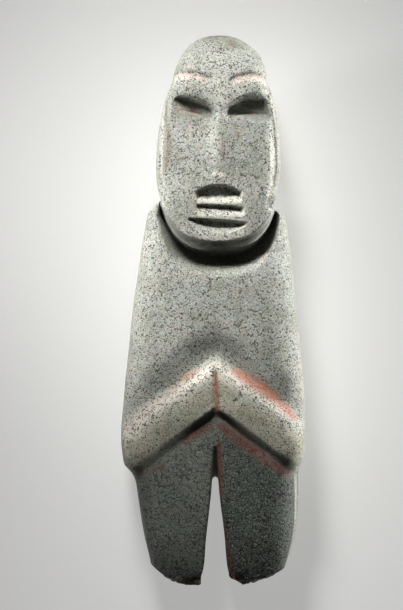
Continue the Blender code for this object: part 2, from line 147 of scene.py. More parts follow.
# How far (x, y) lies outside an egg, along the line from the egg's centre.
def outsideOf(egg, x, y):
    across, along = x - egg["x"], y - egg["y"]
    reach = np.where(along > 0, egg["up"], egg["down"])
    ratio = np.abs(across / egg["half"]) ** egg["power"] + np.abs(along / reach) ** egg["power"]
    return np.hypot(across, along) * (1 - 1 / np.maximum(ratio ** (1 / egg["power"]), 1e-6))


# The arcs of the brow grooves and the eye slits: middle, top, how far out the top is, bow and tilt.
arcs = {
    "brow": dict(middle=3.5, top=118.2, out=15.7, bow=0.030, tilt=0.04),
    "slit": dict(middle=2.5, top=99.4, out=17.5, bow=0.024, tilt=0.03),
}


# Place by an arc: distance from its middle, and distance below it. The arc is its top less the bow times the
# square of the way from its top, less the tilt.
def arcPlace(name, x, y):
    arc, away = arcs[name], x - arcs[name]["middle"]
    side = np.abs(away)
    return side, arc["top"] - arc["bow"] * (side - arc["out"]) ** 2 - arc["tilt"] * away - y


# Brow groove: a soft upper wall above the arc and a ramp below it.
def browGroove(x, y):
    side, below = arcPlace("brow", x, y)
    cut = np.where(below < 0, 1 - smooth(0.0, 2.4, -below), np.clip(1 - below / 3.4, 0, 1))
    return 1.5 * smooth(2.6, 6.5, side) * cut


# Distance in from the outline at (x, y).
def insetAt(x, y):
    axis = through(y, figure["axis"])
    left, right = halfWidths(y)
    return np.where(x < axis, left, right) - np.abs(x - axis)


# The eyes, as (distance from the nose, value) pairs: how far under the brow each hollow's floor lies, how
# deep it is, and how long its rise to the cheek is.
eyes = {
    "middle": 4.3,
    "fallLeft": [(0, 1.6), (4, 4.4), (9, 7.4), (14, 8.0), (18, 6.2), (20.5, 4.6), (23, 3.0), (25, 2.4)],
    "fallRight": [(0, 1.8), (5, 5.6), (12, 9.2), (18, 11.2), (22, 11.4), (26, 10.0)],
    "deepLeft": [(0, 0.0), (3, 0.9), (8, 3.5), (14, 4.3), (18, 3.2), (20.5, 2.1), (23, 0.9), (26, 0.2)],
    "deepRight": [(0, 0.0), (3, 1.6), (8, 4.2), (15, 5.2), (20, 5.2), (23.5, 4.4), (26.5, 3.0)],
    "riseLeft": 4.0,
    "riseRight": [(8, 3.0), (20, 4.6)],
}


# Eye: a slope falls from the brow, a short rise meets the cheek, and the cheek climbs slowly to the mouth.
# All of it fades towards the head's sides.
def eyeHollow(x, y):
    side, left = np.abs(x - eyes["middle"]), x < eyes["middle"]
    droop = np.where(left, 0.12, 0.03) * np.clip(side - 21, 0, 9) ** 2
    brow = 97.6 + 10.8 * (1 - np.exp(-side / 6.2)) - droop
    fall = np.where(left, through(side, eyes["fallLeft"]), through(side, eyes["fallRight"]))
    deep = np.where(left, through(side, eyes["deepLeft"]), through(side, eyes["deepRight"]))
    rise = np.where(left, eyes["riseLeft"], through(side, eyes["riseRight"]))
    below = brow + 0.025 * (x - eyes["middle"]) - y
    down = smooth(-0.25, 1.0, below / (fall * np.where(left, 0.78, 0.64)))
    up = 1 - smooth(0.0, 1.0, (below - fall * 0.92) / rise)
    spread = through(y, [(60, 12.0), (85, 9.0), (97, 5.5)])
    cheek = np.where(left, 2.3, 2.6) * smooth(0.0, 1.0, below / fall)
    cheek = cheek * np.clip((y - 62) / 34.0, 0, 1) ** 1.2 * smooth(0.3, 1.0, side / spread)
    inside = smooth(np.where(left, 0.8, 1.6), np.where(left, 8.0, 5.2), insetAt(x, y))
    return (deep * down * up + cheek) * inside


# Eye slit: a steep upper wall above the arc and a short ramp below it, faded at both ends.
def eyeSlit(x, y):
    side, below = arcPlace("slit", x, y)
    ends = smooth(6.5, 9.5, side) * (1 - smooth(17.5, 20.5, side))
    return 1.3 * ends * np.where(below < 0, 1 - smooth(0.0, 0.45, -below), np.clip(1 - below / 1.7, 0, 1))


# Nose: a low rounded keel that is highest at its tip.
def nose(x, y):
    wide = through(y, [(64, 5.2), (69, 5.6), (80, 5.2), (98, 3.0), (104, 2.2)])
    high = through(y, [(63.4, 0.0), (66.3, 0.45), (69.0, 1.0), (80, 0.85), (96, 0.35), (103, 0.0)])
    return high * (1 - smooth(0.0, 1.0, np.abs(x - 3.7) / wide))


# Mouth opening: a wall under the upper line, then a floor that climbs to the lip. A line is (height, tilt,
# bow), and the bow is a parabola over the opening's width.
def mouthOpening(x, y, middle, half, top, floor, lip, depth, wall):
    side = (x - middle) / half
    bow = np.clip(1 - side * side, 0, 1)
    high = top[0] + top[1] * side + top[2] * bow
    fall = np.maximum(high - (floor[0] + floor[1] * side + floor[2] * bow), 0.2)
    end = np.maximum(high - (lip[0] + lip[1] * side + lip[2] * bow), fall + 0.3)
    climb = 1 - np.clip((high - y - fall) / (end - fall), 0, 1)
    return depth * smooth(0, wall, high - y) * climb * (1 - smooth(0.86, 1.04, np.abs(side)))


# The mouth's openings: middle, half width, upper line, floor's line, lip's line, depth, width of the wall.
openings = {
    "upper": (2.7, 11.4, (59.3, 0, 3.5), (58.2, 0, -1.5), (53.4, 0, 0), 4.8, 0.9),
    "middle": (3.6, 11.9, (52.3, -0.9, 0.3), (50.9, -1.2, 0), (46.9, 0, 0), 2.6, 0.8),
    "lower": (2.3, 14.6, (45.2, -1, 0), (44.6, -1.2, -3.4), (43.4, -1, -5.2), 3.5, 0.9),
}


# The mouth's three openings, one over the other: the deepest holds.
def mouth(x, y):
    return np.maximum.reduce([mouthOpening(x, y, *opening) for opening in openings.values()])


# Face plate: a step and a thin line along the head's sides, both counted in from the outline.
def facePlate(x, y):
    inset = insetAt(x, y)
    left = x < through(y, figure["axis"])
    edge = np.where(left, 4.4, 5.2)
    step = np.where(left, 1.0, 1.5) * (1 - smooth(edge - 1.3, edge, inset))
    line = 1.1 * np.exp(-(((inset - np.where(left, 2.4, 2.8)) / 0.55) ** 2))
    line = line * (1 - smooth(0, 7, y - np.where(left, 94, 104)))
    return (step + line) * smooth(38, 64, y) * (1 - smooth(104, 114, y))


# Jaw: from its egg outwards a crease, a band under the chin, the neck's groove, and a slow climb to the
# chest. The face's own height holds inside the egg, and what lies past it is blended in by the share of the
# way out.
def jaw(x, y, u, v):
    pastJaw, pastCollar = outsideOf(figure["head"], u, v), outsideOf(figure["collar"], u, v)
    away = np.clip(pastJaw, 0, None)
    middle = figure["head"]["x"]
    fade = through(np.abs(u - middle), [(0, 10.0), (14, 9.5), (23, 6.0), (30, 2.4)])
    share = np.where(pastCollar > 0, 1 + pastCollar / fade, away / np.maximum(away - pastCollar, 0.8))
    here = frontHeight(x, y)
    bulge = np.clip(np.abs(x - middle) / 31.5, 0, 0.97)
    face = through(y, [(25, 51.8), (34.5, 52.3), (45, 52.6), (60, 52.7), (70, 52.8)])
    face = face - 26 * (1 - (1 - bulge**6) ** (1 / 6))
    sunk = here - 9.6 * (1 - smooth(0.40, 1.62, share))
    crease = 1.3 * np.exp(-(((pastJaw - 1.0) / 0.55) ** 2)) * (1 - smooth(47, 52, y))
    target = sunk + (face - crease - 3.78 * smooth(0, 0.28, share) - sunk) * (1 - smooth(0.26, 0.56, share))
    axis = through(y, figure["axis"])
    left, right = halfWidths(y)
    rim = smooth(0.82, 0.98, np.abs(x - axis) / np.where(x < axis, left, right)) * smooth(43, 49, y)
    return (target - here) * (1 - smooth(56, 63, y)) * (1 - rim * smooth(-0.6, 1.2, pastJaw))


# Distance past the forearms' lower edge, along y.
def belowForearms(x, y):
    return -49.6 - 0.745 * (np.sqrt((x - figure["armMiddle"]) ** 2 + 1.0) - 1.0) - y


# Distance before the line at the foot of the bevel over the forearms, along y.
def aboveForearms(x, y):
    soft = np.sqrt((x - figure["armMiddle"]) ** 2 + 6.0) - 2.45
    return y + 27.4 + 0.83 * soft - 0.0008 * soft * (44 - soft) - 0.0022 * soft * soft


# Forearms: a hollow over them, a wide bevel up to their arris, a slow roll away from it, and a step down to
# the thighs, all along one chevron.
def forearms(x, y):
    across = x - figure["armMiddle"]
    side = np.abs(across)
    above = aboveForearms(x, y)
    arch = 3.5 * smooth(0.0, 1.0, (1.0 - np.hypot(across / 37.0, (y + 37.5) / 27.5)) / 0.46)
    along = 3.3 * (1 - smooth(2.0, 24.0, above)) * (1 - 0.35 * smooth(25, 42, side))
    scoop = smooth(-4.4, 6.6, above) * np.hypot(arch * (1 - 0.72 * smooth(5, 28, side)), along)
    below = belowForearms(x, y)
    firm = np.where(across > 0, 1.0, 1 - 0.25 * smooth(14, 34, side))
    wall = np.where(across > 0, 3.0 + 1.4 * smooth(3, 14, side), 3.0 + 4.4 * smooth(3, 22, side))
    roll = (0.6 + np.where(across > 0, 0.4, 0.9) * smooth(4, 20, side)) * smooth(-13.0, 1.0, below)
    climb = smooth(0.22, 1, below / 14.0)
    thigh = 2.6 * climb * (1 - smooth(14, 60, below))
    return scoop + roll * (1 - climb) + smooth(-0.4, 1.0, below / wall) * (2.9 * firm * (1 - climb) + thigh)


# The groove between the two hands: a shallow round channel.
def handGroove(x, y):
    ends = smooth(-51.5, -49.5, y) * (1 - smooth(-31.6, -29.4, y))
    return 1.5 * ends * np.clip(1 - ((x - figure["armMiddle"]) / 1.95) ** 2, 0, 1)


# The carving is laid out about its own middle, one part in ninety smaller than it is written.
def drawn(x, y):
    return 1.011 * x + 0.063, 1.011 * y - 0.028


# Change of the front's height at (x, y): what stands proud less what is cut.
def relief(x, y):
    u, v = drawn(x, y)
    cut = browGroove(u, v) + eyeHollow(u, v) + eyeSlit(u, v) + mouth(u, v) + facePlate(x, y)
    return nose(x, y) + jaw(x, y, u, v) - cut - forearms(u, v) - handGroove(u, v)


# Unit quarter turns of a rounded rectangle, its points evenly spaced along it, one row for each power.
def quarterSection(powers, count):
    wide, tall = 40, 24  # the body's usual half sizes, which the even spacing is measured on
    turn = np.linspace(0, np.pi / 2, 2000)
    across, up = np.zeros((2, len(powers), count + 1))
    for row, power in enumerate(powers):
        x, z = np.sin(turn) ** (2 / power), np.clip(np.cos(turn), 0, 1) ** (2 / power)
        length = np.concatenate([[0], np.cumsum(np.hypot(np.diff(x) * wide, np.diff(z) * tall))])
        wanted = np.linspace(0, length[-1], count + 1)
        across[row], up[row] = np.interp(wanted, length, x), np.interp(wanted, length, z)
    return across, up


# Even rows from first to last, about one spacing apart, without the first.
def rowsBetween(first, last, spacing):
    return np.linspace(first, last, max(2, round(abs(last - first) / spacing)) + 1)[1:]


# Rows down the front: cosine spacing over the crown, then even runs, finest where the carving is.
def bodyRows():
    first, last, spacing = figure["rowSpacing"][0]
    turn = np.linspace(0, np.pi / 2, round((first - last) / spacing) + 1)[1:]
    dome = first - (first - last) * (1 - np.cos(turn))
    return np.concatenate([dome] + [rowsBetween(*run) for run in figure["rowSpacing"][1:]])


# Half a ring for each row, from the front's middle to the back's: x is the outline's width times the
# section's share, z is the section's height plus the relief, and y leans back at the crotch and meets the
# foot's line.
def halfRings(side, rows):
    sideName = "Right" if side > 0 else "Left"
    lean = figure["crotchBack"] - figure["crotchFront"]
    slant = np.interp(rows, [figure["footRow"], figure["crotchFront"]], [0.0, lean])
    slant = np.where(rows > figure["crotchFront"], smooth(-12, figure["crotchFront"], rows) * lean, slant)
    middle = rows + slant / 2
    frontX, frontZ = quarterSection(through(middle, figure["frontPower"]), figure["frontCount"])
    backX, backZ = quarterSection(through(middle, figure["backPower"]), figure["backCount"])
    across = np.concatenate([frontX, backX[:, ::-1][:, 1:]], axis=1)
    up = np.concatenate([frontZ, -backZ[:, ::-1][:, 1:]], axis=1)
    low = (1 - up) / 2
    y = rows[:, None] + slant[:, None] * low
    length = figure["crotchFront"] - figure["footRow"]
    legs = np.clip((figure["crotchFront"] - rows) / length, 0, 1)[:, None]
    inward = 6.0 * legs
    outward = inward + (halfWidths(y)[side > 0] - inward) * across
    sole = through(through(y, figure["axis"]) + side * outward, figure["foot" + sideName])
    y = y + legs**1.5 * (sole + figure["footRound"] - figure["footRow"] + 0.8 * low)
    axis, width, girth = through(y, figure["axis"]), halfWidths(y)[side > 0], through(y, figure["girth"])
    below = np.clip(figure["crotchFront"] - rows, 0, None)[:, None]
    gap = through(y, figure["gap"]) * np.sqrt(np.clip(below / 1.6, 0, 1))
    x = axis + side * (gap + (width - gap) * across)
    draft = through(y, figure["draft" + sideName]) * np.clip(up, 0, 1) ** 1.5
    x = x - side * draft * smooth(0.3, 1.0, across)
    top = girth + (through(y, figure["front"]) - girth) * up
    bottom = girth + (girth - through(y, figure["back"])) * up
    facing = smooth(0.02, 0.34, up)
    z = np.where(up >= 0, top, bottom) + facing * relief(x, y)
    inner = np.abs(x - axis) - gap
    reach, depth = (2.6, 1.6) if side > 0 else (1.1, 0.8)  # the arris beside the gap is worn
    z = z - facing * np.clip(1 - inner / reach, 0, 1) ** 2 * depth * smooth(0, 6, below)
    z = z + smooth(0.02, 0.3, -up) * np.clip(1 - inner / 1.2, 0, 1) ** 2 * 0.8 * smooth(0, 6, below)
    return np.stack([x, y, np.maximum(z, 0.0)], axis=-1)


# Four-sided faces between neighbouring rings, each ring closed on itself.
def quads(rings, flip):
    first, second = rings[:-1], rings[1:]
    faces = np.stack([first, np.roll(first, -1, 1), np.roll(second, -1, 1), second], -1).reshape(-1, 4)
    return faces[:, ::-1] if flip else faces


# The last ring rolls over a small radius and then closes, ring by ring, to the middle of the foot.
def soleRings(loop, side):
    line, around = figure["footRight" if side > 0 else "footLeft"], figure["footRound"]
    outward = (loop - loop.mean(0)) * np.array([1, 0, 1])
    outward = outward / np.hypot(outward[:, 0], outward[:, 2])[:, None]
    rings = []
    for turn in np.linspace(0, np.pi / 2, figure["footRolls"] + 1)[1:]:
        down = np.array([0, -around * np.sin(turn), 0])
        rings.append(loop - outward * around * (1 - np.cos(turn)) + down)
    edge = rings[-1]
    middle = edge.mean(0)
    for share in np.linspace(0, 1, figure["footCaps"] + 2)[1:-1]:
        ring = edge + (middle - edge) * share
        ring[:, 1] = ring[:, 1] * (1 - share**0.5) + share**0.5 * (through(ring[:, 0], line) - 0.7)
        rings.append(ring)
    middle[1] = through(middle[:1], line)[0] - 0.8
    return np.array(rings), middle


# The whole skin: rings from the crown to the crotch, then a tube for each leg whose inner wall starts on
# the shared line where the gap ends, closed by a sole. Faces are quads, with fans at the crown and the
# soles.
def figureSkin():
    body = bodyRows()
    rows = np.concatenate([body, rowsBetween(figure["crotchFront"], figure["footRow"], figure["legSpacing"])])
    right, left = halfRings(1, rows), halfRings(-1, rows)
    half = right.shape[1]
    rings = np.concatenate([right, left[:, ::-1][:, 1:-1]], axis=1)[: len(body)]
    around = rings.shape[1]
    top = figure["crown"]
    crown = [[through(np.array([top]), figure["axis"])[0], top, figure["crownHeight"]]]
    points = [np.array(crown), rings.reshape(-1, 3)]
    index = 1 + np.arange(len(body) * around).reshape(len(body), around)
    fours = [quads(index, True)]
    threes = [np.stack([np.zeros(around, int), index[0], np.roll(index[0], -1)], -1)]
    used = 1 + len(body) * around
    share = (np.arange(1, figure["wallCount"] + 1) / (figure["wallCount"] + 1))[:, None]
    points.append(rings[-1, half - 1] * (1 - share) + rings[-1, 0] * share)
    saddle = used + np.arange(figure["wallCount"])
    used += figure["wallCount"]
    last = index[-1]
    for side, skin in ((1, right), (-1, left)):
        outer = skin[len(body):]
        wall = outer[:, -1:] * (1 - share[None]) + outer[:, :1] * share[None]
        loops = np.concatenate([outer, wall], axis=1)
        start = last[:half] if side > 0 else np.concatenate([last[:1], last[half - 1:][::-1]])
        caps, middle = soleRings(loops[-1], side)
        loops = np.concatenate([loops, caps])
        count = loops.shape[1]
        points += [loops.reshape(-1, 3), middle[None]]
        own = used + np.arange(len(loops) * count).reshape(len(loops), count)
        used += len(loops) * count
        full = np.concatenate([np.concatenate([start, saddle])[None], own])
        fours.append(quads(full, side > 0))
        fan = np.stack([np.full(count, used), np.roll(full[-1], -1), full[-1]], -1)
        threes.append(fan if side > 0 else fan[:, ::-1])
        used += 1
    return np.concatenate(points), np.concatenate(fours), np.concatenate(threes)


# Seeded value noise at points (mm): a random number on each corner of a cubic lattice, eased between
# corners.
def unevenness(points, size, seed):
    count = 64  # corners each way before the lattice repeats
    lattice = np.random.default_rng(seed).uniform(-1, 1, (count, count, count))
    place = points / size
    corner = np.floor(place).astype(int)
    t = place - corner
    t = t * t * (3 - 2 * t)
    total = np.zeros(len(points))
    for dx in (0, 1):
        for dy in (0, 1):
            for dz in (0, 1):
                weight = np.abs(1 - dx - t[:, 0]) * np.abs(1 - dy - t[:, 1]) * np.abs(1 - dz - t[:, 2])
                total += weight * lattice[tuple(((corner + [dx, dy, dz]) % count).T)]
    return total


# Vertex normals: each face's area vector is shared out to its corners, then made one long.
def skinNormals(points, fours, threes):
    normals = np.zeros_like(points)
    for faces in (fours, threes):
        across = points[faces[:, 2]] - points[faces[:, 0]]
        along = points[faces[:, -1]] - points[faces[:, 1]]
        area = np.cross(across, along)
        for k in range(faces.shape[1]):
            np.add.at(normals, faces[:, k], area)
    return normals / np.maximum(np.linalg.norm(normals, axis=1), 1e-12)[:, None]


# How far inside a stroke each point lies: 1 along its middle line, 0 at its half width and beyond. A stroke
# is a list of (x, y, half width), and the width runs evenly from each to the next.
def stroke(x, y, path):
    best = np.full(x.shape, np.inf)
    for (ax, ay, aWide), (bx, by, bWide) in zip(path[:-1], path[1:]):
        length = max((bx - ax) ** 2 + (by - ay) ** 2, 1e-9)
        t = np.clip(((x - ax) * (bx - ax) + (y - ay) * (by - ay)) / length, 0, 1)
        away = np.hypot(x - ax - t * (bx - ax), y - ay - t * (by - ay))
        best = np.minimum(best, away / (aWide + t * (bWide - aWide)))
    return np.clip(1 - best, 0, 1)


# Wear and breaks, in millimetres: chips hold (x, y, z, radius, depth).
damage = {
    "chips": [(-2.6, 136.6, 31.0, 2.8, 0.85), (3.0, 137.0, 29.0, 2.2, 0.35), (18.8, 131.4, 30.0, 3.0, 0.95),
              (22.2, 129.0, 30.0, 2.2, 0.5), (23.4, 48.0, 51.0, 1.5, 1.1), (-28.3, 28.2, 45.0, 1.3, 0.7),
              (26.8, 11.4, 44.5, 1.2, 0.5), (3.6, -15.6, 45.0, 1.5, 0.5), (-21.2, -125.6, 39.0, 1.5, 0.9),
              (13.1, 63.2, 52.0, 1.3, 0.8), (21.4, -35.6, 46.0, 1.7, 0.9), (18.2, 49.6, 51.0, 1.6, 0.7),
              (-0.4, -49.0, 45.0, 1.5, 0.8), (-45.4, -66.0, 30.0, 3.0, 0.5), (45.3, -70.0, 32.0, 2.6, 0.5),
              (-31.5, 47.5, 34.0, 2.4, 0.4), (2.0, 67.0, 53.0, 1.6, 0.5)],
    "groundRoll": 0.16,
    "rollSizes": (19.0, 7.0),
    "chipNoise": 1.3,
    "footRoughness": 0.75,
    "footNoise": (3.4, 1.5),
    "seed": 11,
}


# Moves the skin along its normals: slow rolls left by grinding, bowl-shaped chips, and rough broken foot
# ends. The flat that the figure rests on stays where it is.
def wornSkin(points, normals):
    seed = damage["seed"]
    slow, quick = damage["rollSizes"]
    coarse, fine = damage["footNoise"]
    rolls = unevenness(points, slow, seed) + 0.45 * unevenness(points, quick, seed + 1)
    move = damage["groundRoll"] * rolls
    for number, (x, y, z, radius, depth) in enumerate(damage["chips"]):
        away = np.linalg.norm(points - np.array([x, y, z]), axis=1)
        away = away * (1 + 0.25 * unevenness(points, damage["chipNoise"], seed + 20 + number)) / radius
        move -= depth * (1 - smooth(0.25, 1.0, away))
    nearEnd = smooth(-128.5, -134.0, points[:, 1]) * smooth(-0.2, 0.55, -normals[:, 1])
    rough = unevenness(points, coarse, seed + 3) + 0.6 * unevenness(points, fine, seed + 4)
    move += damage["footRoughness"] * nearEnd * (rough - 0.35)
    moved = points + normals * move[:, None]
    moved[:, 2] = np.where(points[:, 2] <= 0.02, points[:, 2], np.maximum(moved[:, 2], 0.0))
    return moved


# Where the surface changes: each list holds (strength, [(x, y, half width), ...]) strokes on the front.
marks = {
    "pigment": [
        (1.0, [(10.5, -30.0, 2.6), (17, -33.8, 4.6), (24.5, -38.6, 5.0), (31.0, -43.8, 4.0)]),
        (0.75, [(31.0, -43.8, 4.2), (36.0, -48.6, 3.6), (41.0, -54.0, 2.2)]),
        (0.55, [(-14.5, -34.4, 2.8), (-8.5, -30.6, 2.8)]),
        (0.16, [(-42, -59, 4.4), (-30, -48, 4.4), (-16, -36, 4.0)]),
        (1.0, [(1.2, -31.5, 1.8), (1.6, -41, 2.3), (2.0, -52, 2.1)]),
        (1.0, [(4.0, -58.0, 3.6), (14.3, -65.0, 5.2), (24.4, -72.4, 4.8), (37.0, -81.0, 3.0)]),
        (0.90, [(-14.0, -65.0, 3.0), (-8.0, -61.0, 4.4), (-2.0, -57.4, 3.8)]),
        (0.45, [(-38.0, -80.5, 3.8), (-25.0, -78.4, 3.8)]),
        (0.95, [(2.8, -66.0, 2.2), (3.4, -80.0, 2.8), (4.2, -92.0, 1.8)]),
        (0.75, [(6.0, -108.0, 1.8), (7.6, -120.0, 2.4), (11.5, -136.4, 2.6)]),
        (0.55, [(-19.0, -134.4, 1.6), (-4.0, -136.6, 1.6)]),
        (0.40, [(-17.0, 99.4, 2.6), (-9.0, 97.8, 2.4)]),
        (0.18, [(-11.0, 91.0, 3.0), (-9.0, 89.0, 3.0)]),
        (0.30, [(12.8, 89.5, 1.8), (14.0, 86.5, 1.8)]),
    ],
    # pale strokes: partly wear, partly painted highlights where the lips, chin, nose tip and the head's side
    # edges catch the light
    "wearAndHighlight": [
        (0.55, [(-8.5, 55.0, 2.8), (13.6, 54.8, 2.8)]),
        (0.45, [(-7.6, 49.2, 2.8), (14.6, 48.2, 2.8)]),
        (0.4, [(-9, 39.0, 2.4), (3, 36.4, 2.6), (14, 38.6, 2.4)]),
        (0.95, [(0.2, 67.6, 1.8), (4.6, 66.6, 2.3)]),
        (0.3, [(3.5, 111.0, 6.5), (3.6, 103.0, 4.0)]),
        (0.34, [(26.0, 109, 1.4), (28.6, 103, 1.8), (29.4, 95, 2.0), (29.5, 82, 2.0), (29.3, 68, 2.0),
                (29, 56, 1.6)]),
        (0.35, [(-24.0, 102, 1.0), (-24.8, 92, 1.1), (-25.2, 80, 1.1), (-25.6, 66, 1.0)]),
    ],
    "stain": [
        (1.0, [(-22.6, 91.5, 1.4), (-21.8, 86.0, 2.8), (-21.6, 80.0, 3.2), (-22.4, 75.0, 2.2),
               (-23.6, 69.0, 0.9)]),
        (0.6, [(-23.2, 100.0, 1.0), (-23.0, 92.0, 1.5)]),
        (0.9, [(6.2, 136.0, 2.6), (10.0, 132.4, 3.4)]),
        (0.5, [(-3.2, 136.0, 2.4), (-1.6, 135.0, 2.4)]),
        (0.7, [(4.6, 88.0, 1.4), (4.9, 80.0, 1.6), (4.4, 74.0, 1.4)]),
        (0.6, [(11.4, 88.4, 2.0), (12.6, 86.0, 2.0)]),
        (0.5, [(-1.6, 43.2, 1.8), (-1.6, 40.6, 1.8)]),
    ],
    # painted shade: dark strokes along the face's side edges, in the right eye's slit and hollow, and above
    # the nose tip
    "paintedShade": [
        (0.7, [(-22.9, 104, 1.2), (-23.3, 97, 1.4), (-23.6, 90, 1.4), (-24.1, 80, 1.3), (-24.7, 68, 1.0)]),
        (0.55, [(28.6, 108, 0.9), (30.6, 100, 1.1), (31.3, 90, 1.2), (31.5, 80, 1.2), (31.2, 66, 1.1),
                (30.2, 54, 0.9)]),
        (0.9, [(12.0, 97.0, 1.1), (18.6, 98.3, 1.2)]),
        (0.8, [(18.5, 100.0, 2.2), (24.6, 101.0, 3.4)]),
        (0.5, [(-1.5, 71.4, 1.1), (3.5, 71.0, 1.2)]),
    ],
    "crackle": [
        (1.0, [(-24, 8, 13), (-14, 0, 17), (-8, -8, 14)]),
        (0.8, [(-16, 24, 9), (-6, 20, 9)]),
        (0.9, [(4, 6, 12), (24, 2, 11)]),
        (0.7, [(20, -8, 14), (28, -20, 12)]),
        (0.9, [(-34, -48, 12), (-20, -34, 13)]),
        (1.0, [(12, 80, 13), (14, 70, 12)]),
        (0.9, [(-14, 78, 12), (-10, 70, 12)]),
        (0.7, [(3, 120, 15), (3, 108, 11)]),
        (0.7, [(-30, -68, 14), (-12, -72, 14)]),
        (0.6, [(22, -90, 16), (24, -115, 16)]),
    ],
}


# One number for each vertex and each thing that the stone's material reads: the strokes above, then bands
# that follow the carving's own lines. Where two meet, the stronger holds.
def surfaceMasks(points, normals):
    x, y, z = points.T
    u, v = drawn(x, y)
    front = smooth(0.05, 0.5, normals[:, 2]) * smooth(20, 30, z)
    masks = {}
    for name, strokes in marks.items():
        value = np.zeros(len(points))
        for strength, path in strokes:
            value = np.maximum(value, strength * smooth(0.0, 0.95, stroke(x, y, path)))
        masks[name] = value * (smooth(-0.35, 0.25, normals[:, 2]) if name == "pigment" else front)
    masks["thin"] = smooth(46, 52, v)
    # painted shade, darker where the carving is cut deeper
    masks["hollow"] = np.clip(-relief(x, y) / 4.5, 0, 1) * front

    # Lays a value over a mask.
    def layOn(name, value):
        masks[name] = np.maximum(masks[name], value)

    # paint along the brows and eye slits, over a pale lower edge, partly worn and partly a painted highlight
    # where it faces the light
    side, below = arcPlace("brow", u, v)
    ends = smooth(5.0, 9.0, side) * (1 - smooth(25.5, 29.5, side)) * front
    brow = ends * smooth(-0.3, 0.4, below) * (1 - 0.6 * smooth(0.7, 2.0, below))
    layOn("pigment", 0.75 * (brow * (1 - smooth(2.4, 3.6, below))))
    layOn("wearAndHighlight", 0.42 * ends * smooth(0.6, 1.6, below) * (1 - smooth(2.6, 3.8, below)))
    side, below = arcPlace("slit", u, v)
    ends = smooth(6.5, 9.5, side) * (1 - smooth(19.0, 22.5, side))
    lid = ends * smooth(0.1, 0.7, below) * (1 - smooth(0.9, 2.2, below))
    layOn("pigment", 0.42 * lid * front)

    # the forearms' arris is worn pale and partly lightened as a painted highlight, most in the middle
    across = u - figure["armMiddle"]
    side, above, below = np.abs(across), aboveForearms(u, v), belowForearms(u, v)
    arris = np.clip(1.25 - np.abs(above + 2.0) / 5.6, 0, 1) * (1 - 0.62 * smooth(4, 30, side))
    layOn("wearAndHighlight", arris * front)

    # painted shade: darker under the chin, down the throat, in the jaw's crease, under the forearms and in
    # the eyes, where shadow falls
    pastJaw, pastCollar = outsideOf(figure["head"], u, v), outsideOf(figure["collar"], u, v)
    band = smooth(0.2, 1.4, pastJaw) * (1 - smooth(-5.5, -2.0, pastCollar)) * (1 - smooth(44, 50, v))
    crease = np.exp(-(((pastJaw - 1.0) / 0.8) ** 2)) * (1 - smooth(44, 50, v))
    throat = 0.55 * (1 - smooth(-3.5, 4.0, pastCollar)) * smooth(0.2, 1.4, pastJaw) * (1 - smooth(38, 50, v))
    thinning = np.where(across < 0, 0.6, 0.35) * smooth(4, 16, side)
    under = smooth(-2.6, 1.6, below) * (1 - smooth(3.0, 13.0, below)) * (1 - thinning)
    inEyes = np.where(u < eyes["middle"], 0.95, 0.65) * smooth(1.7, 4.1, eyeHollow(u, v))
    for value in (0.9 * band, crease, throat, under, inEyes):
        layOn("paintedShade", value * front)

    # the legs are darker all round, partly darker stone and partly painted shade for the light fading towards
    # the feet, the right leg most
    # the pale strip along the right leg's outer edge is a painted highlight where the rim lamp strikes it
    width = through(y, [(-134, 0.2), (-120, 0.7), (-100, 1.5), (-80, 2.3)])
    edge = 1 - smooth(width - 0.4, width + 0.5, insetAt(x, y))
    edge = edge * smooth(0.1, 0.4, normals[:, 0]) * smooth(-136, -120, y) * smooth(22, 28, z)
    facing = smooth(-0.1, 0.3, normals[:, 2])
    legs = facing * smooth(-1.0, 9.0, below) + (1 - facing) * smooth(-62, -102, y) * 0.9
    masks["legs"] = legs * (0.80 + 0.20 * smooth(-2, 4, u - 2.5)) * (1 - 0.75 * edge)
    layOn("wearAndHighlight", 0.3 * edge * smooth(0.0, 8.0, below))

    # the forearms are browner and less cracked, and the paint is darker below them and between the hands as
    # painted shade
    masks["arms"] = smooth(-4.0, -7.5, above) * (1 - smooth(-2.0, 1.0, below)) * front
    masks["crackle"] -= 1.3 * masks["arms"]
    inGroove = (1 - smooth(2.0, 4.0, side)) * (1 - smooth(-32.0, -29.0, v))
    masks["deep"] = np.maximum(smooth(-1.0, 3.0, below), 0.5 * inGroove)
    return masks


